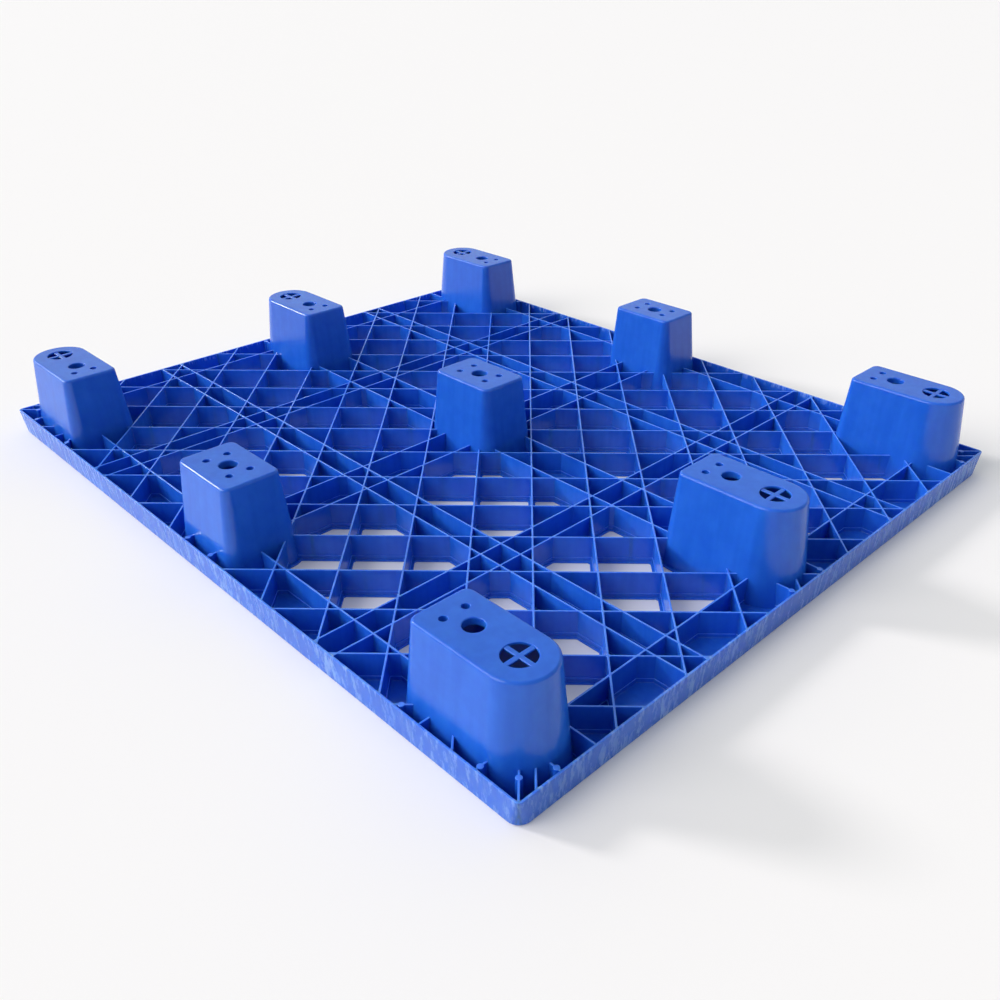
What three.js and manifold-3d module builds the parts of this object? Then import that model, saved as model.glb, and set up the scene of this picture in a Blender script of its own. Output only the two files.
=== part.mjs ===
// Nine-leg nestable plastic pallet, lying on its load face with its legs pointing up.
//
// Millimetres, +Z up. The origin is the centre of the load face, X runs along the long side and
// Y along the short side. The deck is a thin ribbed plate from z = 0 to SKIRT_HEIGHT, edged by
// four skirts; nine hollow, tapered legs rise from it and are open at the load face, so that
// one pallet's legs drop into the next one's.
//
// The moulding is modelled in zones: each leg with the ribs and flange around its foot, each
// skirt wall, and each panel of ribbed deck between the legs.

import * as THREE from "three";
import { mergeVertices } from "three/addons/utils/BufferGeometryUtils.js";
import Module from "manifold-3d";

const wasm = await Module();
wasm.setup();

// Overall size, and the gap between neighbouring zones
const LENGTH = 1200;
const WIDTH = 1000;
const TOTAL_HEIGHT = 135;
const GAP = 0.3;

// Skirt: widest at the rim, drawn in by SKIRT_DRAFT at the load face
const SKIRT_HEIGHT = 38;
const SKIRT_WALL = 2.8;
const SKIRT_DRAFT = 2.5;
const SKIRT_CORNER = 6;

// Deck plate and ribs. The diagonal ribs cross at every second point of a LATTICE grid, and
// the straight ribs lie at the same distances on both sides of the centre lines.
const PLATE = 2.5;
const RIB = 2.4;
const LATTICE = { x: 57.5, y: 56.6 };
const RIB_LINES = { x: [29.5, 270, 306, 540], y: [32.5, 210, 246, 442] };

// Legs: the straight stretch of a foot is LEG_LENGTH long, and an end leg adds a round outer end
const LEG_LENGTH = 119;
const LEG_WIDTH = 81;
const LEG_CORNER = 11;
const LEG_WALL = 3;
const LEG_SLOPE = 0.098;
const LEG_FLANGE = 4;
const LEG_COLUMN = 474.5;
const LEG_ROW = 434;

// Holes through the foot of each leg
const CENTRE_HOLE = 24;
const END_HOLE_SHIFT = 4.5;
const SMALL_HOLE = 9.5;
const SMALL_HOLE_PLACE = { x: 28.7, y: 14.8 };
const DRAIN_HOLE = 38;
const DRAIN_BAR = 6;

// Stub ribs between an end leg and the skirts, measured from the centre lines
const STUB = { x: 455, y: 393 };

// Beside each middle leg of a long side, the diagonal ribs stop at the leg
const CLEAR = { x: 54, y: 483.5 };

// Zone edges in lattice steps: their corners lie on diagonal ribs
const ZONE_NEAR = 1.391;
const ZONE_FAR = 8 - ZONE_NEAR;

// Facets per round stretch, and how far a surface may move when flat neighbouring faces merge
const FACETS = { end: 14, corner: 2, hole: 16, smallHole: 8 };
const FLATNESS = 0.005;
const PLASTIC = { color: 0x1d4fc4, roughness: 0.38, metalness: 0 };

// ---- solids from three.js geometry ----

function solid(geometry) {
  geometry.deleteAttribute("normal");
  geometry.deleteAttribute("uv");
  const merged = mergeVertices(geometry, 1e-4);
  const mesh = new wasm.Mesh({
    numProp: 3,
    vertProperties: Float32Array.from(merged.attributes.position.array),
    triVerts: Uint32Array.from(merged.index.array),
  });
  return new wasm.Manifold(mesh);
}

function block(x0, x1, y0, y1, z0, z1) {
  const geometry = new THREE.BoxGeometry(x1 - x0, y1 - y0, z1 - z0);
  geometry.translate((x0 + x1) / 2, (y0 + y1) / 2, (z0 + z1) / 2);
  return solid(geometry);
}

// A box about the pallet's centre that is larger than the pallet in plan.
function layer(z0, z1) {
  return block(-LENGTH, LENGTH, -WIDTH, WIDTH, z0, z1);
}

function upright(diameter, x, y, z0, z1, facets) {
  const geometry = new THREE.CylinderGeometry(diameter / 2, diameter / 2, z1 - z0, facets);
  geometry.rotateX(Math.PI / 2);
  geometry.translate(x, y, (z0 + z1) / 2);
  return solid(geometry);
}

function rib(x0, y0, x1, y1) {
  const geometry = new THREE.BoxGeometry(Math.hypot(x1 - x0, y1 - y0), RIB, SKIRT_HEIGHT);
  geometry.rotateZ(Math.atan2(y1 - y0, x1 - x0));
  geometry.translate((x0 + x1) / 2, (y0 + y1) / 2, SKIRT_HEIGHT / 2);
  return solid(geometry);
}

function unionOf(solids) {
  return solids.reduce((joined, piece) => joined.add(piece));
}

// An outline that keeps its own size at zNarrow and grows by slope per millimetre up to zWide,
// which may be above or below it.
function flared(outline, zNarrow, zWide, slope) {
  const height = Math.abs(zWide - zNarrow);
  const up = zWide > zNarrow;
  const step = 1;
  const geometry = new THREE.ExtrudeGeometry(outline, {
    depth: step,
    bevelEnabled: true,
    bevelThickness: height,
    bevelSize: slope * height,
    bevelSegments: 1,
  });
  geometry.translate(0, 0, up ? zWide : zWide - step);
  const beyond = up ? layer(zWide, zWide + 2 * height) : layer(zWide - 2 * height, zWide);
  return solid(geometry).subtract(beyond);
}

// ---- outlines ----

function arcPoints(cx, cy, radius, from, to, facets) {
  const points = [];
  for (let i = 0; i <= facets; i += 1) {
    const angle = from + ((to - from) * i) / facets;
    points.push(new THREE.Vector2(cx + radius * Math.cos(angle), cy + radius * Math.sin(angle)));
  }
  return points;
}

const QUARTER = Math.PI / 2;

function roundedRectangle(halfX, halfY, radius) {
  const corners = [[1, -1], [1, 1], [-1, 1], [-1, -1]];
  const points = corners.flatMap(([sx, sy], i) => {
    const cx = sx * (halfX - radius);
    const cy = sy * (halfY - radius);
    return arcPoints(cx, cy, radius, QUARTER * (i - 1), QUARTER * i, FACETS.corner);
  });
  return new THREE.Shape(points);
}

// The foot of a leg about the centre of its straight stretch, drawn inset from its outer wall.
// side is 1 or -1 where the leg has a round end towards +X or -X, and 0 where both are square.
function legOutline(side, inset) {
  const halfX = LEG_LENGTH / 2;
  const halfY = LEG_WIDTH / 2 - inset;
  const corner = LEG_CORNER - inset;
  if (side === 0) return roundedRectangle(halfX - inset, halfY, corner);
  const squareX = inset + corner - halfX;
  const points = [
    ...arcPoints(halfX, 0, halfY, -QUARTER, QUARTER, FACETS.end),
    ...arcPoints(squareX, halfY - corner, corner, QUARTER, 2 * QUARTER, FACETS.corner),
    ...arcPoints(squareX, corner - halfY, corner, 2 * QUARTER, 3 * QUARTER, FACETS.corner),
  ];
  if (side < 0) points.forEach((point) => point.multiplyScalar(-1));
  return new THREE.Shape(points);
}

// ---- legs ----

const LEGS = [-LEG_ROW, 0, LEG_ROW].flatMap((y) =>
  [-1, 0, 1].map((side) => ({ side, x: side * LEG_COLUMN, y })),
);

function placed(leg, body) {
  return body.translate([leg.x, leg.y, 0]);
}

function legBody(leg) {
  return placed(leg, flared(legOutline(leg.side, 0), TOTAL_HEIGHT, 0, LEG_SLOPE));
}

function legHollow(leg) {
  const inner = legOutline(leg.side, LEG_WALL);
  return placed(leg, flared(inner, TOTAL_HEIGHT - LEG_WALL, -1, LEG_SLOPE));
}

function legFlange(leg) {
  const slope = LEG_SLOPE + LEG_FLANGE / TOTAL_HEIGHT;
  const wide = flared(legOutline(leg.side, 0), TOTAL_HEIGHT, 0, slope);
  return placed(leg, wide.intersect(layer(0, PLATE)));
}

function drainX(leg) {
  return leg.x + (leg.side * LEG_LENGTH) / 2;
}

function footHoles(leg) {
  const z0 = TOTAL_HEIGHT - 2 * LEG_WALL;
  const z1 = TOTAL_HEIGHT + LEG_WALL;
  const centreX = leg.x - leg.side * END_HOLE_SHIFT;
  const holes = [upright(CENTRE_HOLE, centreX, leg.y, z0, z1, FACETS.hole)];
  const sides = leg.side === 0 ? [-1, 1] : [-leg.side];
  for (const sx of sides) {
    for (const sy of [-1, 1]) {
      const x = centreX + sx * SMALL_HOLE_PLACE.x;
      const y = leg.y + sy * SMALL_HOLE_PLACE.y;
      holes.push(upright(SMALL_HOLE, x, y, z0, z1, FACETS.smallHole));
    }
  }
  if (leg.side !== 0) holes.push(upright(DRAIN_HOLE, drainX(leg), leg.y, z0, z1, FACETS.hole));
  return unionOf(holes);
}

function drainCross(leg) {
  const x = drainX(leg);
  const { y } = leg;
  const reach = DRAIN_HOLE / 2 + 1;
  const half = DRAIN_BAR / 2;
  const z0 = TOTAL_HEIGHT - LEG_WALL;
  const along = block(x - reach, x + reach, y - half, y + half, z0, TOTAL_HEIGHT);
  const across = block(x - half, x + half, y - reach, y + reach, z0, TOTAL_HEIGHT);
  return along.add(across);
}

// ---- ribs and plate ----

function straightRibs() {
  const ribs = [];
  for (const side of [-1, 1]) {
    for (const x of RIB_LINES.x) ribs.push(rib(side * x, -WIDTH / 2, side * x, WIDTH / 2));
    for (const y of RIB_LINES.y) ribs.push(rib(-LENGTH / 2, side * y, LENGTH / 2, side * y));
  }
  return ribs;
}

// The outermost line of each family would only clip two corners of the deck, and is left out.
function diagonalRibs() {
  const ribs = [];
  const rise = (WIDTH / 2) * (LATTICE.x / LATTICE.y);
  const last = Math.floor((LENGTH / 2 + rise) / (2 * LATTICE.x)) - 1;
  for (let line = -last; line <= last; line += 1) {
    const x = 2 * LATTICE.x * line;
    ribs.push(rib(x - rise, -WIDTH / 2, x + rise, WIDTH / 2));
    ribs.push(rib(x - rise, WIDTH / 2, x + rise, -WIDTH / 2));
  }
  const front = block(-CLEAR.x, CLEAR.x, -WIDTH, -CLEAR.y, -1, TOTAL_HEIGHT);
  const back = block(-CLEAR.x, CLEAR.x, CLEAR.y, WIDTH, -1, TOTAL_HEIGHT);
  return unionOf(ribs).subtract(front.add(back));
}

// Short ribs that tie each corner leg to the corner and to both skirts.
function stubRibs() {
  const ribs = [];
  const roundX = LEG_COLUMN + LEG_LENGTH / 2;
  for (const sx of [-1, 1]) {
    for (const sy of [-1, 1]) {
      ribs.push(rib(sx * roundX, sy * LEG_ROW, (sx * LENGTH) / 2, (sy * WIDTH) / 2));
      ribs.push(rib(sx * STUB.x, sy * LEG_ROW, sx * STUB.x, (sy * WIDTH) / 2));
      ribs.push(rib(sx * roundX, sy * STUB.y, (sx * LENGTH) / 2, sy * STUB.y));
    }
  }
  return ribs;
}

function baySpans([centre, pairIn, pairOut, edge]) {
  const spans = [[centre, pairIn], [pairOut, edge]];
  return [...spans, ...spans.map(([near, far]) => [-far, -near])];
}

// The plate is solid in a band around the edge, between each close pair of ribs and along both
// centre lines, and open in the sixteen bays between those bands.
function deckPlate() {
  const bays = baySpans(RIB_LINES.x).flatMap(([x0, x1]) =>
    baySpans(RIB_LINES.y).map(([y0, y1]) => block(x0, x1, y0, y1, -PLATE, 2 * PLATE)),
  );
  return layer(0, PLATE).subtract(unionOf(bays));
}

function moulding() {
  const ribs = unionOf([...straightRibs(), diagonalRibs(), ...stubRibs()]);
  const deck = deckPlate().add(ribs).add(unionOf(LEGS.map(legFlange)));
  const hollows = unionOf(LEGS.map(legHollow)).add(unionOf(LEGS.map(footHoles)));
  const crosses = unionOf(LEGS.filter((leg) => leg.side !== 0).map(drainCross));
  return deck.add(unionOf(LEGS.map(legBody))).subtract(hollows).add(crosses);
}

// ---- skirts ----

// The space inside a skirt surface that lies inset from the outer one.
function skirtVolume(inset, z0, z1) {
  const slope = SKIRT_DRAFT / SKIRT_HEIGHT;
  const reduce = inset + slope * (SKIRT_HEIGHT - z0);
  const radius = Math.max(SKIRT_CORNER - inset, 1);
  const outline = roundedRectangle(LENGTH / 2 - reduce, WIDTH / 2 - reduce, radius);
  return flared(outline, z0, z1, slope);
}

// Four walls, mitred at the corners.
function skirts() {
  const outer = skirtVolume(0, 0, SKIRT_HEIGHT);
  const ring = outer.subtract(skirtVolume(SKIRT_WALL, -1, SKIRT_HEIGHT + 1));
  return ["right", "back", "left", "front"].map((label, i) => {
    const [out, along] = i % 2 === 0 ? [LENGTH / 2, WIDTH / 2] : [WIDTH / 2, LENGTH / 2];
    const apex = out - along + GAP;
    const wedge = new THREE.Shape([
      new THREE.Vector2(apex, 0),
      new THREE.Vector2(apex + LENGTH, -LENGTH),
      new THREE.Vector2(apex + LENGTH, LENGTH),
    ]);
    const geometry = new THREE.ExtrudeGeometry(wedge, {
      depth: TOTAL_HEIGHT,
      bevelEnabled: false,
    });
    geometry.rotateZ(QUARTER * i);
    return { name: `skirt_${label}`, body: ring.intersect(solid(geometry)) };
  });
}

// ---- zones ----

const ZONE_COLUMNS = ["left", "mid_left", "middle", "mid_right", "right"];
const ZONE_ROWS = ["front", "mid_front", "centre", "mid_back", "back"];

function zoneEdges(lattice, half) {
  const near = ZONE_NEAR * lattice;
  const far = ZONE_FAR * lattice;
  return [-half, -far, -near, near, far, half];
}

function zoneName(row, column) {
  const holdsLeg = row % 2 === 0 && column % 2 === 0;
  return `${holdsLeg ? "leg" : "deck"}_${ZONE_ROWS[row]}_${ZONE_COLUMNS[column]}`;
}

// The largest body of a cut zone, without the slivers of rib that a cut can leave at a corner.
function mainBody(body) {
  return body.decompose().reduce((big, other) => (other.volume() > big.volume() ? other : big));
}

function zones(whole) {
  const deck = skirtVolume(SKIRT_WALL + GAP, 0, SKIRT_HEIGHT);
  const legHeight = skirtVolume(SKIRT_WALL + LEG_WALL, SKIRT_HEIGHT, TOTAL_HEIGHT + 1);
  const trimmed = whole.intersect(deck.add(legHeight));
  const edgesX = zoneEdges(LATTICE.x, LENGTH / 2);
  const edgesY = zoneEdges(LATTICE.y, WIDTH / 2);
  const half = GAP / 2;
  return ZONE_ROWS.flatMap((_, row) =>
    ZONE_COLUMNS.map((__, column) => {
      const [x0, x1] = [edgesX[column] + half, edgesX[column + 1] - half];
      const [y0, y1] = [edgesY[row] + half, edgesY[row + 1] - half];
      const cell = block(x0, x1, y0, y1, -1, TOTAL_HEIGHT + 1);
      return { name: zoneName(row, column), body: mainBody(trimmed.intersect(cell)) };
    }),
  );
}

// ---- scene graph ----

function toMesh({ name, body }) {
  const mesh = body.asOriginal().simplify(FLATNESS).getMesh();
  const geometry = new THREE.BufferGeometry();
  geometry.setAttribute("position", new THREE.BufferAttribute(mesh.vertProperties, 3));
  geometry.setIndex(new THREE.BufferAttribute(mesh.triVerts, 1));
  geometry.computeVertexNormals();
  const result = new THREE.Mesh(geometry, new THREE.MeshStandardMaterial(PLASTIC));
  result.name = name;
  return result;
}

const pallet = new THREE.Group();
pallet.name = "plastic_pallet";
for (const piece of [...zones(moulding()), ...skirts()]) pallet.add(toMesh(piece));

export default pallet;
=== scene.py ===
"""Looks of a nine-leg nestable plastic pallet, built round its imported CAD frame.

The pallet lies on its load face with its legs pointing up. The whole moulding is built once, as
one solid, and then cut into the zones that the CAD nodes name, so the pieces meet without a seam.
Shapes are worked out in millimetres, in the frame's own axes, and turned into metres when a mesh
is made.
"""

import functools
import math

import bpy
from mathutils import Matrix, Vector


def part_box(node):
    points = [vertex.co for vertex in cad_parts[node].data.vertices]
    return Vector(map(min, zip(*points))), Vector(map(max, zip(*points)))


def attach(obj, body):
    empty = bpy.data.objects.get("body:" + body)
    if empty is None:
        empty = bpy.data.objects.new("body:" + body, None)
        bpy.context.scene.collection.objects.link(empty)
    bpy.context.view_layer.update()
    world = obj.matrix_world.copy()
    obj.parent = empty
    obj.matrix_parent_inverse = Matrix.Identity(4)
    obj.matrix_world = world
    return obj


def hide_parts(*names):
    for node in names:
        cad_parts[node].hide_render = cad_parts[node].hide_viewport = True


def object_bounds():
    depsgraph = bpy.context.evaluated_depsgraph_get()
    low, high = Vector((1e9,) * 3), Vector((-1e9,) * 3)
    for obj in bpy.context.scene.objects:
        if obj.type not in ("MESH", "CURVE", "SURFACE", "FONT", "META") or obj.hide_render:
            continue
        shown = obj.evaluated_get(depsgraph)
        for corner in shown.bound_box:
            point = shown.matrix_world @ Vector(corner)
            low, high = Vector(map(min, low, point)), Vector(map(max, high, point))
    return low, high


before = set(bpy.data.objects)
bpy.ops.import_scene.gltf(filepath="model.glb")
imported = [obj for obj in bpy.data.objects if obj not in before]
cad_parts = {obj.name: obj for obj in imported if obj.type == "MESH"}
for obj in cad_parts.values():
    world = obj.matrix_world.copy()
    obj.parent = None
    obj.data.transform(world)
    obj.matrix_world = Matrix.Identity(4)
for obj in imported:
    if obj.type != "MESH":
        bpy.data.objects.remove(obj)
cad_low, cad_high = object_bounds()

MM = 0.001

# Two places closer than this, in millimetres, are the same
NEAR = 1e-6

# How far a solid that cuts, joins or bounds another runs past the face that it meets
PAST = 1.0

# Overall size, from the frame
HALF_X = cad_high.x / MM
HALF_Y = cad_high.y / MM
TOTAL_HEIGHT = cad_high.z / MM
SKIRT_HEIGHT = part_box("skirt_front")[1].z / MM
BODY = "root"
SLOT = "blue_plastic"

# Skirt: widest at the rim, drawn in at the load face, where its corners are rounder
SKIRT_WALL = 2.8
SKIRT_DRAFT = 2.5
SKIRT_CORNER_RIM = 6.0
SKIRT_CORNER_BASE = 16.0
SKIRT_CORNER_STEPS = 8
RIM_FILLET = 0.7
BASE_FILLET = 1.6

# Where the skirts are cut from the rest, in from their inner faces, and the gap between CAD nodes
SKIRT_CUT = 0.2
SKIRT_CUT_CORNER = 2.0
NODE_GAP = 0.3

# Deck plate and ribs. Diagonal ribs cross at every second point of the lattice, and straight ribs
# lie on both sides of each centre line: a pair astride it, a close pair and one near the edge.
# Within TAIL_X no diagonal lies between a middle leg and a long skirt. Stubs tie the corner legs
# to the skirts.
PLATE = 2.5
LATTICE_X = 57.5
LATTICE_Y = 56.6
OUTER_DIAGONAL = 16
RIB_LINES_X = (29.5, 270.0, 306.0, 540.0)
RIB_LINES_Y = (32.5, 210.0, 246.0, 442.0)
TAIL_X = 54.0
STUB_X = 455.0
STUB_Y = 393.0

# Ribs: half their thickness under the rounded top, on the step low down and at the base
RIB_TOP = 1.2
RIB_FILLET = 0.5
RIB_STEP = 7.6
RIB_STEP_SLOPE = 0.2
RIB_STEP_HALF = 1.35
RIB_BASE_HALF = 2.4
RIB_BASE_TAPER = 0.1
FLOOR_FILLET = 1.0

# Pockets between the ribs. A small pocket takes a share of the rib's widening, so that it stays
# open, and a corner's rounding takes at most a share of the walls beside it.
POCKET_CORNER = 1.4
POCKET_TOP_CORNER = 0.4
POCKET_CORNER_STEPS = 3
POCKET_ROOM = 1.0
WIDENING_SHARES = (1, 0.75, 0.5, 0.35)
CORNER_SHARE = 0.45

# Openings in the plate: a ledge is left beside the ribs, and their corners are cut off
LEDGE = 2.6
OPENING_CORNER = 2.5
OPENING_CORNER_STEPS = 1
OPENING_ROOM = 2.0
OPENING_RISE = 0.4

# Legs, as in the CAD, with rounded foot edges
LEG_COLUMN = 474.5
LEG_ROW = 434.0
LEG_LENGTH = 119.0
LEG_WIDTH = 81.0
LEG_CORNER = 11.0
LEG_CORNER_STEPS = 6
LEG_END_STEPS = 28
LEG_WALL = 3.0
LEG_SLOPE = 0.098
LEG_FLANGE = 4.0
FOOT_FILLET = 3.6
FOOT_FILLET_STEPS = 6
HOLLOW_BEVEL = 2.0

# Holes through the foot
CENTRE_HOLE = 24.0
END_HOLE_SHIFT = 4.5
SMALL_HOLE = 9.5
SMALL_HOLE_X = 28.7
SMALL_HOLE_Y = 14.8
HOLE_STEPS = 40
HOLE_LIP = 0.7
CENTRE_HOLE_LIP = 1.6
COLLAR_DEPTH = 6.0
COLLAR_WALL = 2.0
COLLAR_OVERLAP = 0.5

# The drain hole at the round end, and the cross of bars in it
DRAIN_HOLE = 38.0
DRAIN_HOLE_STEPS = 56
DRAIN_BAR = 6.0
DRAIN_BAR_DROP = 1.0
DRAIN_BAR_BEVEL = 0.5
DRAIN_BAR_LIFT = 0.1

# Round ejector bosses on the ribs: most stand a little in from the skirt, and smaller ones on
# points of the lattice. BOSS_ANGLES are the steps round a boss's upper edge, in radians.
BOSS = 7.5
BOSS_INSET = 8.0
CORNER_BOSS_INSET = 24.0
NODE_BOSS = 5.5
NODE_BOSS_PLACES = ((8, 4), (9, 5), (9, 1))
BOSS_BASE = 1.0
BOSS_TAPER = 0.6
BOSS_FILLET = 0.6
BOSS_ANGLES = (0.0, 0.52, 1.05, 1.57)
BOSS_STEPS = 20

# Plastic, in linear colours. The highlight colour is a painted highlight: paler plastic on the
# upward faces of the rib tops and steps, where the light catches them.
PLASTIC_DEEP = (0.011, 0.112, 0.570, 1)
PLASTIC_BRIGHT = (0.020, 0.156, 0.680, 1)
PLASTIC_HIGHLIGHT = (0.110, 0.290, 0.900, 1)
PLASTIC_SCUFFED = (0.340, 0.520, 0.800, 1)
PLASTIC_IOR = 1.46

# How far light spreads under the surface, in millimetres, and the share of it for each colour
TRANSLUCENT_DEPTH = 4.0
TRANSLUCENT_RADIUS = (0.3, 0.6, 1.0)

# Edges sharper than this, in degrees, are not smoothed
SHARP_ANGLE = 40

# Noises of the plastic: scale per metre, detail, roughness. Drag marks are drawn out along Z,
# and scratches are drawn out and turned.
CLOUDS = (4.0, 4.0, 0.6)
MOTTLE = (45.0, 3.0, 0.6)
DRAG = (90.0, 2.0, 0.5)
DRAG_STRETCH = (1, 1, 0.03)
SCRATCH = (80.0, 5.0, 0.65)
SCRATCH_STRETCH = (1.6, 1.6, 0.4)
SCRATCH_TURN = (30, 38, 0)
GRAIN = (1400.0, 2.0, 0.5)
WAVES = (11.0, 1.0, 0.4)

# Spans of noise that a tone, a wear mark or a roughness is spread over
WIDE = (0.3, 0.7)
NARROW = (0.35, 0.65)
SPOTS = (0.35, 0.7)
SCRATCHES = (0.45, 0.68)

# How much each noise brightens the colour, and how strongly the painted highlight and the scuffs
# show, from least to most
CLOUDY = 0.45
SPOTTED = 0.3
STREAKY = 0.25
PAINTED_HIGHLIGHT_SPAN = (0.45, 0.8)
SCUFFED = (0.2, 0.6)

# Roughness of the plastic, and what drag marks and scuffs add to it
ROUGHNESS = (0.19, 0.22)
DRAG_ROUGHNESS = 0.05
SCUFF_ROUGHNESS = 0.3

# Bumps: strength, and depth in millimetres
WAVE_BUMP = (0.25, 3.0)
GRAIN_BUMP = (0.08, 0.06)

# Heights where upward faces get a painted highlight: the rib tops and the step at the foot of the
# ribs
HIGHLIGHT_HEIGHTS = ((SKIRT_HEIGHT - 0.2, SKIRT_HEIGHT + 0.5), (RIB_STEP - 0.4, RIB_STEP + 0.2))
EDGE_BLUR = 0.6

# How far up a face looks, as the Z of its normal, from no painted highlight to full painted
# highlight
UPWARD = (0.2, 0.8)

# Scuffs lie within this depth of the overall size, on the outer faces of the skirts
OUTER_FACE = 3.5
OUTER_FACE_BLUR = 0.5

# Studio floor, in metres
FLOOR_REACH = 30.0
FLOOR_DROP = 0.0005
FLOOR_COLOUR = (0.89, 0.84, 0.82, 1)
FLOOR_ROUGHNESS = 0.9
FLOOR_SHEEN = 0.1
FLOOR_GLOW = 0.06

# Lamps: direction towards the light, strength, angle across in degrees
KEY_LIGHT = ((-0.3, -0.75, 0.58), 1.6, 45)
GLINT_LIGHT = ((-0.81, -0.42, 0.41), 1.55, 10)

# Strength of the light from all round: from -X, from +X and from the horizon, whose light has
# faded where a direction's Z reaches HORIZON_HEIGHT
WORLD_COLOUR = (0.88, 0.96, 1.0, 1)
WORLD_BRIGHT = 0.88
WORLD_DIM = 0.26
WORLD_HORIZON = 1.0
HORIZON_HEIGHT = 0.18

# Camera: places in metres, roll in degrees, lens and sensor in millimetres
CAMERA_PLACE = (1.0406, -0.9262, 0.7096)
CAMERA_TARGET = (0.1486, -0.0396, 0.0)
CAMERA_ROLL = 0.12
CAMERA_LENS = 34.52
CAMERA_SENSOR = 36
CAMERA_SHIFT = (-0.0284, -0.0093)
CAMERA_CLIP = (0.05, 100)


# ---- solids as lists of points and faces ----


def add_object(name, data):
    made = bpy.data.objects.new(name, data)
    bpy.context.scene.collection.objects.link(made)
    return made


class Solid:
    """Points in millimetres and faces, gathered from closed shapes."""

    def __init__(self):
        self.points = []
        self.faces = []

    def add_loft(self, rings):
        """Adds a closed shape through rings of equal length, from the lowest up. Points of a
        ring that fall together are merged, so a ring may lose edges on the way."""
        index = {}
        places = []
        for ring in rings:
            row = []
            for point in ring:
                key = tuple(round(value, 4) for value in point)
                if key not in index:
                    index[key] = len(self.points)
                    self.points.append(point)
                row.append(index[key])
            places.append(row)
        count = len(places[0])
        self.add_face(places[0][::-1])
        for low, high in zip(places, places[1:]):
            for i in range(count):
                j = (i + 1) % count
                self.add_face((low[i], low[j], high[j], high[i]))
        self.add_face(places[-1])

    def add_prism(self, outline, low, high):
        self.add_loft([at_height(outline, low), at_height(outline, high)])

    def add_face(self, corners):
        kept = [c for i, c in enumerate(corners) if c != corners[i - 1]]
        if len(set(kept)) > 2:
            self.faces.append(kept)

    def make(self, name):
        mesh = bpy.data.meshes.new(name)
        scaled = [(x * MM, y * MM, z * MM) for x, y, z in self.points]
        mesh.from_pydata(scaled, [], self.faces)
        return add_object(name, mesh)


def boolean(target, operation, tool, name=None):
    """A new object: target joined with, cut by or kept inside tool."""
    modifier = target.modifiers.new(operation, "BOOLEAN")
    modifier.operation = operation
    modifier.solver = "MANIFOLD"
    modifier.object = tool
    graph = bpy.context.evaluated_depsgraph_get()
    mesh = bpy.data.meshes.new_from_object(target.evaluated_get(graph))
    target.modifiers.remove(modifier)
    return add_object(name or target.name, mesh)


def discard(*objects):
    for item in objects:
        mesh = item.data
        bpy.data.objects.remove(item)
        bpy.data.meshes.remove(mesh)


def apply(target, operation, tool):
    """Replaces target by its boolean with tool, and removes tool."""
    made = boolean(target, operation, tool)
    discard(target, tool)
    return made


# ---- outlines ----


def at_height(outline, z):
    return [(x, y, z) for x, y in outline]


def quarter_turn(steps=3):
    """Angles from 0 to 90 degrees, in radians, for rounding an edge."""
    return [math.radians(90 * i / steps) for i in range(steps + 1)]


def arc(cx, cy, radius, start, end, steps):
    angles = [math.radians(start + (end - start) * i / steps) for i in range(steps + 1)]
    return [(cx + radius * math.cos(a), cy + radius * math.sin(a)) for a in angles]


def circle(x, y, radius, steps):
    return arc(x, y, radius, 0, 360 - 360 / steps, steps - 1)


def rectangle(x0, x1, y0, y1):
    return [(x0, y0), (x1, y0), (x1, y1), (x0, y1)]


def rounded_rectangle(half_x, half_y, radius, steps):
    points = []
    for turn, (sx, sy) in enumerate([(1, 1), (-1, 1), (-1, -1), (1, -1)]):
        cx, cy = sx * (half_x - radius), sy * (half_y - radius)
        points += arc(cx, cy, radius, 90 * turn, 90 * turn + 90, steps)
    return points


def leg_outline(side, grow):
    """A leg's foot about the centre of its straight stretch, grown by so much. side is 1 or -1
    for a round end towards +X or -X, and 0 where both ends are square."""
    half_x = LEG_LENGTH / 2
    half_y = LEG_WIDTH / 2 + grow
    corner = LEG_CORNER + grow
    if side == 0:
        return rounded_rectangle(half_x + grow, half_y, corner, LEG_CORNER_STEPS)
    square = corner - half_x - grow
    points = arc(half_x, 0, half_y, -90, 90, LEG_END_STEPS)
    points += arc(square, half_y - corner, corner, 90, 180, LEG_CORNER_STEPS)
    points += arc(square, corner - half_y, corner, 180, 270, LEG_CORNER_STEPS)
    return [(side * x, side * y) for x, y in points]


# ---- cells between the ribs ----


class Edge:
    """One side of a cell: a unit normal pointing out, and its distance from the origin."""

    def __init__(self, start, end, kind):
        length = math.dist(start, end)
        self.normal = ((end[1] - start[1]) / length, (start[0] - end[0]) / length)
        self.offset = self.normal[0] * start[0] + self.normal[1] * start[1]
        self.kind = kind

    def meet(self, other, inset, other_inset):
        """Where this edge and another cross once each is moved in by its inset."""
        (a, b), (c, d) = self.normal, other.normal
        e, f = self.offset - inset, other.offset - other_inset
        area = a * d - b * c
        return ((e * d - b * f) / area, (a * f - e * c) / area)


def split(cell, normal, offset):
    """Cuts a convex cell, a list of (point, kind of the side that starts there), along a line."""
    sides = [normal[0] * p[0] + normal[1] * p[1] - offset for p, _ in cell]
    if min(sides) > -NEAR or max(sides) < NEAR:
        return [cell]
    halves = []
    for sign in (1, -1):
        half = []
        for i, (point, kind) in enumerate(cell):
            j = (i + 1) % len(cell)
            here, there = sign * sides[i], sign * sides[j]
            cut = None
            if abs(here) > NEAR and abs(there) > NEAR and here * there < 0:
                share = here / (here - there)
                end = cell[j][0]
                cut = tuple(p + share * (q - p) for p, q in zip(point, end))
            if here > -NEAR:
                half.append((point, "rib" if here < NEAR and there < -NEAR else kind))
            if cut:
                half.append((cut, "rib" if here > 0 else kind))
        halves.append(half)
    return halves


def middle(cell):
    return [sum(p[axis] for p, _ in cell) / len(cell) for axis in (0, 1)]


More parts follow.
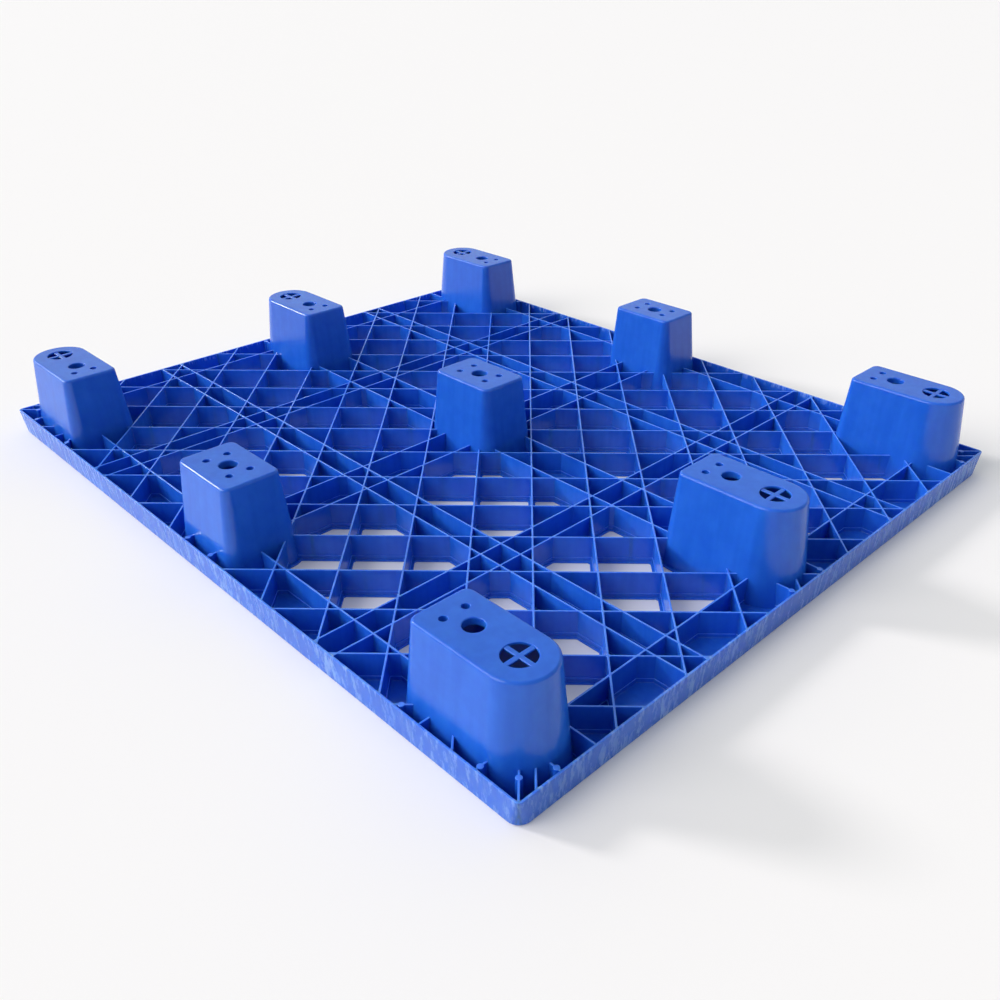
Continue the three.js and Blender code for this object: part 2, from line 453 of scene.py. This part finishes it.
def rib_cells():
    """The cells between the ribs' centre lines, out to the rim."""
    cells = [[(corner, "rim") for corner in rectangle(-HALF_X, HALF_X, -HALF_Y, HALF_Y)]]
    lines = [((1, 0), side * x) for x in RIB_LINES_X for side in (-1, 1)]
    lines += [((0, 1), side * y) for y in RIB_LINES_Y for side in (-1, 1)]
    for unit, offset in lines:
        cells = [half for cell in cells for half in split(cell, unit, offset)]
    length = math.hypot(1 / LATTICE_X, 1 / LATTICE_Y)
    for step in range(-OUTER_DIAGONAL, OUTER_DIAGONAL + 1, 2):
        for sign in (1, -1):
            unit = (1 / LATTICE_X / length, sign / LATTICE_Y / length)
            cells = [half for cell in cells for half in split_slanted(cell, unit, step / length)]
    return [stub for cell in cells for stub in split_by_stubs(cell)]


def split_slanted(cell, unit, offset):
    """Cuts a cell along a diagonal rib, but not between a middle leg and the long skirt."""
    halves = split(cell, unit, offset)
    cut = [p for p, _ in halves[0] if abs(unit[0] * p[0] + unit[1] * p[1] - offset) < NEAR]
    beside_leg = all(abs(x) < TAIL_X and abs(y) > RIB_LINES_Y[-1] for x, y in cut)
    return [cell] if beside_leg else halves


def split_by_stubs(cell):
    """Cuts a cell in the band round the deck where a short rib ties a corner leg to a skirt."""
    x, y = middle(cell)
    parts = [cell]
    sx, sy = math.copysign(1, x), math.copysign(1, y)
    end_band, side_band = abs(x) > RIB_LINES_X[-1], abs(y) > RIB_LINES_Y[-1]
    if side_band:
        parts = [half for part in parts for half in split(part, (1, 0), sx * STUB_X)]
    if end_band:
        parts = [half for part in parts for half in split(part, (0, 1), sy * STUB_Y)]
    if end_band and side_band:
        slant = math.sqrt(0.5)
        unit = (sx * slant, -sy * slant)
        offset = (HALF_X - HALF_Y) * slant
        parts = [half for part in parts for half in split(part, unit, offset)]
    return parts


def draft_at(z):
    """How far the skirts are drawn in at a height."""
    return SKIRT_DRAFT * (SKIRT_HEIGHT - z) / SKIRT_HEIGHT


def inset_of(edge, half, z):
    """How far a pocket's wall stands inside an edge where ribs are half thick."""
    if edge.kind == "rim":
        return draft_at(z) + SKIRT_WALL + half - RIB_TOP
    return half


def edges_left(edges, insets):
    """The edges that still bound the cell once each is moved in by its inset, and their lengths.
    Both lists are empty where nothing of the cell is left."""
    left = list(range(len(edges)))
    while len(left) > 2:
        lengths = []
        for k, i in enumerate(left):
            before, after = left[k - 1], left[(k + 1) % len(left)]
            start = edges[before].meet(edges[i], insets[before], insets[i])
            end = edges[i].meet(edges[after], insets[i], insets[after])
            nx, ny = edges[i].normal
            lengths.append((end[1] - start[1]) * nx - (end[0] - start[0]) * ny)
        shortest = min(range(len(left)), key=lambda k: lengths[k])
        if lengths[shortest] > NEAR:
            return left, lengths
        del left[shortest]
    return [], []


def cell_outline(edges, insets, radius, steps):
    """The cell's outline moved in edge by edge, with rounded corners. Every outline of a cell
    has the same number of points: where an edge has vanished, its corners run together."""
    left, lengths = edges_left(edges, insets)
    points = []
    for k, i in enumerate(left):
        j = left[(k + 1) % len(left)]
        corner = edges[i].meet(edges[j], insets[i], insets[j])
        (a, b), (c, d) = edges[i].normal, edges[j].normal
        turn = math.acos(max(-1.0, min(1.0, a * c + b * d)))
        merged = (j - i) % len(edges)
        room = CORNER_SHARE * min(lengths[k], lengths[(k + 1) % len(left)])
        reach = min(radius * math.tan(turn / 2), room)
        bend = reach / math.tan(turn / 2)
        share = bend / (1 + a * c + b * d)
        cx = corner[0] - share * (a + c)
        cy = corner[1] - share * (b + d)
        start = math.degrees(math.atan2(b, a))
        count = merged * (steps + 1) - 1
        points += arc(cx, cy, bend, start, start + math.degrees(turn), count)
    return points


def cell_edges(cell):
    ends = cell[1:] + cell[:1]
    return [Edge(p, q, kind) for (p, kind), (q, _) in zip(cell, ends)]


def rib_profile():
    """(height, half the rib's thickness, corner radius) down a pocket's wall, from above it."""
    flat = RIB_TOP - RIB_FILLET
    rows = [(SKIRT_HEIGHT + PAST, flat, POCKET_TOP_CORNER)]
    for a in quarter_turn():
        z = SKIRT_HEIGHT - RIB_FILLET * (1 - math.cos(a))
        out = RIB_FILLET * math.sin(a)
        rows.append((z, flat + out, POCKET_TOP_CORNER + out))
    rows.append((RIB_STEP, RIB_STEP_HALF, POCKET_CORNER))
    rows.append((RIB_STEP - RIB_STEP_SLOPE, RIB_BASE_HALF, POCKET_CORNER))
    for a in quarter_turn():
        z = PLATE + FLOOR_FILLET * (1 - math.sin(a))
        half = RIB_BASE_HALF + RIB_BASE_TAPER + FLOOR_FILLET * (1 - math.cos(a))
        rows.append((z, half, POCKET_CORNER))
    return rows


def room_in(edges):
    """The largest share of the ribs' widening that leaves some of the cell open, or 0."""
    full = rib_profile()[-1][1]
    for share in WIDENING_SHARES:
        insets = [inset_of(edge, full * share + POCKET_ROOM, 0) for edge in edges]
        if edges_left(edges, insets)[0]:
            return share
    return 0


def pockets(cells):
    """The space between the ribs, above the plate."""
    space = Solid()
    for cell in cells:
        edges = cell_edges(cell)
        share = room_in(edges)
        if not share:
            continue
        rings = []
        for z, half, radius in reversed(rib_profile()):
            wide = RIB_TOP + (half - RIB_TOP) * share if half > RIB_TOP else half
            insets = [inset_of(edge, wide, min(z, SKIRT_HEIGHT)) for edge in edges]
            outline = cell_outline(edges, insets, radius * share, POCKET_CORNER_STEPS)
            rings.append(at_height(outline, z))
        space.add_loft(rings)
    return space.make("pockets")


def in_open_bay(point):
    """True where the plate is pierced: not in the band round the edge, between a close pair of
    ribs, or along a centre line."""
    spans = []
    for value, (centre, pair_in, pair_out, edge) in zip(point, (RIB_LINES_X, RIB_LINES_Y)):
        far = abs(value)
        spans.append(centre < far < pair_in or pair_out < far < edge)
    return all(spans)


def openings(cells):
    """The holes in the plate."""
    space = Solid()
    inset = RIB_BASE_HALF + LEDGE
    for cell in cells:
        edges = cell_edges(cell)
        roomy = edges_left(edges, [inset + OPENING_ROOM] * len(edges))[0]
        if in_open_bay(middle(cell)) and roomy:
            outline = cell_outline(
                edges, [inset] * len(edges), OPENING_CORNER, OPENING_CORNER_STEPS
            )
            space.add_prism(outline, -PAST, PLATE + OPENING_RISE)
    return space.make("openings")


# ---- legs ----

# Each leg as the side that its round end faces, or 0 where both ends are square, and its place
LEGS = [
    (side, side * LEG_COLUMN, row * LEG_ROW) for row in (-1, 0, 1) for side in (-1, 0, 1)
]
END_LEGS = [leg for leg in LEGS if leg[0]]


def leg_ring(leg, grow, z):
    side, x, y = leg
    return [(x + u, y + v, z) for u, v in leg_outline(side, grow)]


def leg_bodies():
    """The legs as filled blocks, with rounded foot edges."""
    space = Solid()
    shoulder = TOTAL_HEIGHT - FOOT_FILLET
    for leg in LEGS:
        rings = [leg_ring(leg, LEG_SLOPE * (TOTAL_HEIGHT - z), z) for z in (0, PLATE)]
        rings.append(leg_ring(leg, LEG_SLOPE * FOOT_FILLET, shoulder))
        for a in quarter_turn(FOOT_FILLET_STEPS)[1:]:
            grow = LEG_SLOPE * FOOT_FILLET * (1 - math.sin(a)) - FOOT_FILLET * (1 - math.cos(a))
            rings.append(leg_ring(leg, grow, shoulder + FOOT_FILLET * math.sin(a)))
        space.add_loft(rings)
    return space.make("leg_bodies")


def leg_flanges():
    """The plate round the root of each leg."""
    space = Solid()
    for leg in LEGS:
        grow = LEG_SLOPE * TOTAL_HEIGHT + LEG_FLANGE
        space.add_loft([leg_ring(leg, grow, 0), leg_ring(leg, grow, PLATE)])
    return space.make("leg_flanges")


def leg_hollows():
    """The space inside each leg, open in the load face and bevelled under the foot."""
    space = Solid()
    roof = TOTAL_HEIGHT - LEG_WALL
    rows = [
        (LEG_SLOPE * (TOTAL_HEIGHT + PAST) - LEG_WALL, -PAST),
        (LEG_SLOPE * (LEG_WALL + HOLLOW_BEVEL) - LEG_WALL, roof - HOLLOW_BEVEL),
        (LEG_SLOPE * LEG_WALL - LEG_WALL - HOLLOW_BEVEL, roof),
    ]
    for leg in LEGS:
        space.add_loft([leg_ring(leg, grow, z) for grow, z in rows])
    return space.make("leg_hollows")


def drilled(x, y, diameter, lip, steps):
    """Rings of a hole down through a foot, with a rounded lip."""
    radius = diameter / 2
    bottom = TOTAL_HEIGHT - LEG_WALL - COLLAR_DEPTH - PAST
    rings = [at_height(circle(x, y, radius, steps), bottom)]
    for a in quarter_turn():
        outline = circle(x, y, radius + lip * (1 - math.cos(a)), steps)
        rings.append(at_height(outline, TOTAL_HEIGHT - lip * (1 - math.sin(a))))
    rings.append(at_height(outline, TOTAL_HEIGHT + PAST))
    return rings


def drain_place(leg):
    """The centre of an end leg's drain hole, which is that of its round end."""
    side, x, y = leg
    return x + side * LEG_LENGTH / 2, y


def bore_places():
    """(x, y, diameter, lip) of the plain round holes in every foot."""
    places = []
    for side, x, y in LEGS:
        centre = x - side * END_HOLE_SHIFT
        places.append((centre, y, CENTRE_HOLE, CENTRE_HOLE_LIP))
        for sx in (-1, 1) if side == 0 else (-side,):
            for sy in (-1, 1):
                place = (centre + sx * SMALL_HOLE_X, y + sy * SMALL_HOLE_Y)
                places.append((*place, SMALL_HOLE, HOLE_LIP))
    return places


def collars():
    """Short sleeves round the plain holes, on the inner face of each foot."""
    space = Solid()
    roof = TOTAL_HEIGHT - LEG_WALL
    for x, y, diameter, _ in bore_places():
        outline = circle(x, y, diameter / 2 + COLLAR_WALL, HOLE_STEPS)
        space.add_prism(outline, roof - COLLAR_DEPTH, roof + COLLAR_OVERLAP)
    return space.make("collars")


def foot_holes():
    space = Solid()
    for x, y, diameter, lip in bore_places():
        space.add_loft(drilled(x, y, diameter, lip, HOLE_STEPS))
    for leg in END_LEGS:
        space.add_loft(drilled(*drain_place(leg), DRAIN_HOLE, HOLE_LIP, DRAIN_HOLE_STEPS))
    return space.make("foot_holes")


def drain_bars(along):
    """One bar of each drain hole's cross, along X or across it, with bevelled upper edges."""
    space = Solid()
    reach = DRAIN_HOLE / 2 + PAST
    half = DRAIN_BAR / 2
    low = TOTAL_HEIGHT - LEG_WALL + DRAIN_BAR_LIFT
    top = TOTAL_HEIGHT - DRAIN_BAR_DROP
    rows = [(low, half), (top - DRAIN_BAR_BEVEL, half), (top, half - DRAIN_BAR_BEVEL)]
    for leg in END_LEGS:
        x, y = drain_place(leg)
        rings = []
        for z, wide in rows:
            half_x, half_y = (reach, wide) if along else (wide, reach)
            outline = rectangle(x - half_x, x + half_x, y - half_y, y + half_y)
            rings.append(at_height(outline, z))
        space.add_loft(rings)
    return space.make("drain_bars")


# ---- bosses ----


def boss_places():
    """(x, y, diameter) of the ejector bosses, the same at all four corners."""
    quarter = [
        (HALF_X - CORNER_BOSS_INSET, HALF_Y - CORNER_BOSS_INSET, BOSS),
        (RIB_LINES_X[-1], HALF_Y - BOSS_INSET, BOSS),
        (HALF_X - BOSS_INSET, RIB_LINES_Y[-1], BOSS),
        (RIB_LINES_X[0], HALF_Y - BOSS_INSET, BOSS),
        (HALF_X - BOSS_INSET, RIB_LINES_Y[0], BOSS),
    ]
    outer_x = (OUTER_DIAGONAL - (HALF_Y - BOSS_INSET) / LATTICE_Y) * LATTICE_X
    quarter.append((outer_x, HALF_Y - BOSS_INSET, BOSS))
    for i, j in NODE_BOSS_PLACES:
        quarter.append((i * LATTICE_X, j * LATTICE_Y, NODE_BOSS))
    places = set()
    for x, y, diameter in quarter:
        for sx in (-1, 1):
            for sy in (-1, 1):
                places.add((sx * x, sy * y, diameter))
    return sorted(places)


def bosses():
    """The bosses, from inside the plate up to the rib tops, with rounded upper edges."""
    space = Solid()
    rows = [(BOSS_BASE, BOSS_TAPER)]
    for a in BOSS_ANGLES:
        z = SKIRT_HEIGHT - BOSS_FILLET * (1 - math.sin(a))
        rows.append((z, -BOSS_FILLET * (1 - math.cos(a))))
    for x, y, diameter in boss_places():
        rings = []
        for z, grow in rows:
            rings.append(at_height(circle(x, y, diameter / 2 + grow, BOSS_STEPS), z))
        space.add_loft(rings)
    return space.make("bosses")


# ---- the moulding and its zones ----


def skirt_ring(inset, corner, z):
    """The skirts' outline at a height, moved in by so much."""
    total = inset + draft_at(z)
    outline = rounded_rectangle(HALF_X - total, HALF_Y - total, corner, SKIRT_CORNER_STEPS)
    return at_height(outline, z)


def corner_at(z):
    """The radius of the deck's corners at a height."""
    share = max(0.0, min(1.0, z / SKIRT_HEIGHT))
    return SKIRT_CORNER_BASE + (SKIRT_CORNER_RIM - SKIRT_CORNER_BASE) * share


def skirt_envelope():
    """The deck's outer shape: drafted sides with rounded edges."""
    space = Solid()
    rings = []
    for a in quarter_turn():
        z = BASE_FILLET * (1 - math.cos(a))
        rings.append(skirt_ring(BASE_FILLET * (1 - math.sin(a)), corner_at(z), z))
    for a in quarter_turn():
        z = SKIRT_HEIGHT - RIM_FILLET * (1 - math.sin(a))
        rings.append(skirt_ring(RIM_FILLET * (1 - math.cos(a)), corner_at(z), z))
    space.add_loft(rings)
    return space.make("skirt_envelope")


def moulding():
    """The whole pallet as one solid."""
    cells = rib_cells()
    whole = skirt_envelope()
    for make_tool in (pockets, openings):
        whole = apply(whole, "DIFFERENCE", make_tool(cells))
    for make_tool in (leg_flanges, leg_bodies, bosses):
        whole = apply(whole, "UNION", make_tool())
    whole = apply(whole, "DIFFERENCE", leg_hollows())
    whole = apply(whole, "UNION", collars())
    whole = apply(whole, "DIFFERENCE", foot_holes())
    for along in (True, False):
        whole = apply(whole, "UNION", drain_bars(along))
    return whole


def skirt_inside():
    """The space inside the skirts, where the deck and leg zones lie."""
    space = Solid()
    inset = SKIRT_WALL + SKIRT_CUT
    rings = [skirt_ring(inset, SKIRT_CUT_CORNER, z) for z in (-PAST, SKIRT_HEIGHT + PAST)]
    rings.append([(x, y, TOTAL_HEIGHT + PAST) for x, y, _ in rings[-1]])
    space.add_loft(rings)
    return space.make("skirt_inside")


def zone_edges(low_node, high_node, axis):
    """The four zone borders across one axis, in the middle of the frame's gaps."""
    borders = []
    for node in (low_node, high_node):
        low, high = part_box(node)
        borders += [low[axis] / MM - NODE_GAP / 2, high[axis] / MM + NODE_GAP / 2]
    return borders


def zone_block(node, borders_x, borders_y):
    """The block of space that a deck or leg node stands for."""
    far = 2 * HALF_X
    low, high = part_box(node)
    spans = []
    for axis, borders in ((0, borders_x), (1, borders_y)):
        place = (low[axis] + high[axis]) / 2 / MM
        edges = [-far, *borders, far]
        spans.append(next((a, b) for a, b in zip(edges, edges[1:]) if a < place < b))
    space = Solid()
    space.add_prism(rectangle(*spans[0], *spans[1]), -2 * PAST, TOTAL_HEIGHT + 2 * PAST)
    return space.make("zone_block")


# The skirts in order of quarter turns, starting from +X
SKIRT_SIDES = ("right", "back", "left", "front")


def skirt_wedge(turn):
    """The quarter of space, mitred at the corners, that holds the skirt on one side."""
    out, along = (HALF_X, HALF_Y) if turn % 2 == 0 else (HALF_Y, HALF_X)
    apex, far = out - along, 2 * HALF_X
    points = [(apex, 0), (apex + far, -far), (apex + far, far)]
    angle = math.radians(90 * turn)
    turned = [
        (x * math.cos(angle) - y * math.sin(angle), x * math.sin(angle) + y * math.cos(angle))
        for x, y in points
    ]
    space = Solid()
    space.add_prism(turned, -2 * PAST, TOTAL_HEIGHT + 2 * PAST)
    return space.make("skirt_wedge")


def pieces_of(whole):
    """The moulding cut into one piece for each CAD node."""
    space = skirt_inside()
    inside = boolean(whole, "INTERSECT", space)
    ring = boolean(whole, "DIFFERENCE", space)
    borders_x = zone_edges("deck_front_mid_left", "deck_front_mid_right", 0)
    borders_y = zone_edges("deck_mid_front_left", "deck_mid_back_left", 1)
    made = {}
    for node in sorted(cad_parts):
        if node.startswith("skirt_"):
            turn = SKIRT_SIDES.index(node.removeprefix("skirt_"))
            source, tool = ring, skirt_wedge(turn)
        else:
            source, tool = inside, zone_block(node, borders_x, borders_y)
        made[node] = boolean(source, "INTERSECT", tool, f"moulded_{node}")
        discard(tool)
    discard(whole, inside, ring, space)
    return made


# ---- node graphs ----


class Graph:
    """Short calls for laying out the nodes of a material or of the world."""

    def __init__(self, owner, coordinates):
        owner.use_nodes = True
        self.nodes = owner.node_tree.nodes
        self.links = owner.node_tree.links
        self.place = self.nodes.new("ShaderNodeTexCoord").outputs[coordinates]

    def feed(self, socket, value):
        """Gives a socket a number or colour, or what comes out of another node."""
        if isinstance(value, bpy.types.NodeSocket):
            self.links.new(value, socket)
        else:
            socket.default_value = value

    def noise(self, scale, detail, roughness, stretch=(1, 1, 1), turn=(0, 0, 0)):
        mapping = self.nodes.new("ShaderNodeMapping")
        mapping.inputs["Rotation"].default_value = [math.radians(angle) for angle in turn]
        mapping.inputs["Scale"].default_value = stretch
        self.feed(mapping.inputs["Vector"], self.place)
        texture = self.nodes.new("ShaderNodeTexNoise")
        self.feed(texture.inputs["Vector"], mapping.outputs["Vector"])
        self.feed(texture.inputs["Scale"], scale)
        self.feed(texture.inputs["Detail"], detail)
        self.feed(texture.inputs["Roughness"], roughness)
        return texture.outputs["Fac"]

    def between(self, value, low, high, start=0.0, end=1.0, curve="SMOOTHSTEP"):
        """value mapped from low..high onto start..end, and held there beyond them."""
        node = self.nodes.new("ShaderNodeMapRange")
        node.interpolation_type = curve
        names = ("Value", "From Min", "From Max", "To Min", "To Max")
        for name, given in zip(names, (value, low, high, start, end)):
            self.feed(node.inputs[name], given)
        return node.outputs["Result"]

    def calculate(self, operation, first, second=0.0):
        node = self.nodes.new("ShaderNodeMath")
        node.operation = operation
        self.feed(node.inputs[0], first)
        self.feed(node.inputs[1], second)
        return node.outputs["Value"]

    def sum(self, *values):
        return functools.reduce(lambda a, b: self.calculate("ADD", a, b), values)

    def product(self, *values):
        return functools.reduce(lambda a, b: self.calculate("MULTIPLY", a, b), values)

    def mix(self, factor, first, second):
        node = self.nodes.new("ShaderNodeMix")
        node.data_type = "RGBA"
        self.feed(node.inputs["Factor"], factor)
        self.feed(node.inputs["A"], first)
        self.feed(node.inputs["B"], second)
        return node.outputs["Result"]

    def parts(self, vector):
        node = self.nodes.new("ShaderNodeSeparateXYZ")
        self.feed(node.inputs["Vector"], vector)
        return [node.outputs[axis] for axis in "XYZ"]

    def bump(self, height, strength, depth, normal=None):
        node = self.nodes.new("ShaderNodeBump")
        self.feed(node.inputs["Strength"], strength)
        self.feed(node.inputs["Distance"], depth * MM)
        self.feed(node.inputs["Height"], height)
        if normal:
            self.feed(node.inputs["Normal"], normal)
        return node.outputs["Normal"]


# ---- plastic ----


def on_highlight_heights(graph, height):
    """For each height of painted highlight, 1 on upward faces there and 0 elsewhere, with soft
    borders.
    """
    facing = graph.parts(graph.nodes.new("ShaderNodeNewGeometry").outputs["Normal"])[2]
    upward = graph.between(facing, *UPWARD)
    masks = []
    for low, high in HIGHLIGHT_HEIGHTS:
        above = graph.between(height, (low - EDGE_BLUR) * MM, low * MM)
        below = graph.between(height, high * MM, (high + EDGE_BLUR) * MM, 1.0, 0.0)
        masks.append(graph.product(above, below, upward))
    return masks


def on_outer_faces(graph, x, y):
    """1 on the outer faces of the skirts and 0 elsewhere."""
    beyond = []
    for value, half in ((x, HALF_X), (y, HALF_Y)):
        far = graph.calculate("ABSOLUTE", value)
        beyond.append(graph.calculate("SUBTRACT", far, (half - OUTER_FACE) * MM))
    return graph.between(graph.calculate("MAXIMUM", *beyond), 0.0, OUTER_FACE_BLUR * MM)


def plastic():
    """Glossy moulded plastic: cloudy colour, drag marks up the legs, a painted highlight on the
    upward faces of the rib tops and steps, a scuffed outer face, a slight waviness and a fine
    grain."""
    material = bpy.data.materials.new(SLOT)
    graph = Graph(material, "Object")
    shader = graph.nodes["Principled BSDF"]
    clouds = graph.noise(*CLOUDS)
    mottle = graph.noise(*MOTTLE)
    drag = graph.noise(*DRAG, DRAG_STRETCH)
    scratch = graph.noise(*SCRATCH, SCRATCH_STRETCH, SCRATCH_TURN)

    cloudy = graph.between(clouds, *WIDE, 0.0, CLOUDY)
    spotted = graph.between(mottle, *SPOTS, 0.0, SPOTTED)
    streaky = graph.between(drag, *NARROW, 0.0, STREAKY)
    tone = graph.sum(cloudy, spotted, streaky)
    colour = graph.mix(tone, PLASTIC_DEEP, PLASTIC_BRIGHT)

    x, y, height = graph.parts(graph.place)
    # Painted highlight: a paler colour on the upward faces of the rib tops and the steps, varied
    # by the mottle
    painted_highlight = graph.between(mottle, *WIDE, *PAINTED_HIGHLIGHT_SPAN)
    for mask in on_highlight_heights(graph, height):
        colour = graph.mix(graph.product(mask, painted_highlight), colour, PLASTIC_HIGHLIGHT)

    marks = graph.product(
        graph.between(scratch, *SCRATCHES),
        graph.between(clouds, *NARROW, *SCUFFED),
    )
    scuffs = graph.product(on_outer_faces(graph, x, y), marks)
    colour = graph.mix(scuffs, colour, PLASTIC_SCUFFED)
    graph.feed(shader.inputs["Base Color"], colour)

    patchy = graph.between(mottle, *WIDE, *ROUGHNESS)
    dragged = graph.between(drag, *NARROW, 0.0, DRAG_ROUGHNESS)
    rough = graph.sum(patchy, dragged, graph.product(scuffs, SCUFF_ROUGHNESS))
    graph.feed(shader.inputs["Roughness"], rough)

    wavy = graph.bump(graph.noise(*WAVES), *WAVE_BUMP)
    grainy = graph.bump(graph.noise(*GRAIN), *GRAIN_BUMP, wavy)
    graph.feed(shader.inputs["Normal"], grainy)
    graph.feed(shader.inputs["IOR"], PLASTIC_IOR)
    graph.feed(shader.inputs["Subsurface Weight"], 1.0)
    graph.feed(shader.inputs["Subsurface Radius"], TRANSLUCENT_RADIUS)
    graph.feed(shader.inputs["Subsurface Scale"], TRANSLUCENT_DEPTH * MM)
    return material


# ---- scene ----


def dress(pieces, material):
    for node, piece in pieces.items():
        mesh = piece.data
        mesh.materials.clear()
        mesh.materials.append(material)
        mesh.shade_smooth()
        mesh.set_sharp_from_angle(angle=math.radians(SHARP_ANGLE))
        weighted = piece.modifiers.new("weighted_normals", "WEIGHTED_NORMAL")
        weighted.keep_sharp = True
        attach(piece, BODY)
        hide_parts(node)


def floor():
    mesh = bpy.data.meshes.new("floor")
    square = rectangle(-FLOOR_REACH, FLOOR_REACH, -FLOOR_REACH, FLOOR_REACH)
    mesh.from_pydata(at_height(square, 0), [], [(0, 1, 2, 3)])
    material = bpy.data.materials.new("floor")
    material.use_nodes = True
    shader = material.node_tree.nodes["Principled BSDF"]
    shader.inputs["Base Color"].default_value = FLOOR_COLOUR
    shader.inputs["Roughness"].default_value = FLOOR_ROUGHNESS
    shader.inputs["Specular IOR Level"].default_value = FLOOR_SHEEN
    shader.inputs["Emission Color"].default_value = (1, 1, 1, 1)
    shader.inputs["Emission Strength"].default_value = FLOOR_GLOW
    mesh.materials.append(material)
    made = add_object("floor", mesh)
    made.location.z = -FLOOR_DROP


def soft_sun(name, towards_light, strength, angle):
    """Even, soft light from one side, as from a large panel far away."""
    lamp = bpy.data.lights.new(name, "SUN")
    lamp.energy = strength
    lamp.angle = math.radians(angle)
    turn = Vector(towards_light).to_track_quat("Z", "Y")
    add_object(name, lamp).rotation_euler = turn.to_euler()


def world_light():
    """Light from all round: brighter towards -X than towards +X, and brightest at the horizon."""
    world = bpy.data.worlds.new("studio")
    bpy.context.scene.world = world
    graph = Graph(world, "Generated")
    x, _, z = graph.parts(graph.place)
    above = graph.between(x, -1.0, 1.0, WORLD_BRIGHT, WORLD_DIM, "LINEAR")
    background = graph.nodes["Background"]
    graph.feed(background.inputs["Color"], WORLD_COLOUR)
    strength = graph.between(z, 0.0, HORIZON_HEIGHT, WORLD_HORIZON, above)
    graph.feed(background.inputs["Strength"], strength)


def studio():
    floor()
    world_light()
    soft_sun("key", *KEY_LIGHT)
    soft_sun("glint", *GLINT_LIGHT)
    bpy.context.scene.view_settings.view_transform = "Standard"


def camera():
    data = bpy.data.cameras.new("camera")
    data.lens = CAMERA_LENS
    data.sensor_width = CAMERA_SENSOR
    data.shift_x, data.shift_y = CAMERA_SHIFT
    data.clip_start, data.clip_end = CAMERA_CLIP
    made = add_object("camera", data)
    towards = Vector(CAMERA_TARGET) - Vector(CAMERA_PLACE)
    turn = towards.to_track_quat("-Z", "Y").to_matrix().to_4x4()
    roll = Matrix.Rotation(math.radians(CAMERA_ROLL), 4, "Z")
    made.matrix_world = Matrix.Translation(CAMERA_PLACE) @ turn @ roll
    bpy.context.scene.camera = made


dress(pieces_of(moulding()), plastic())
studio()
camera()
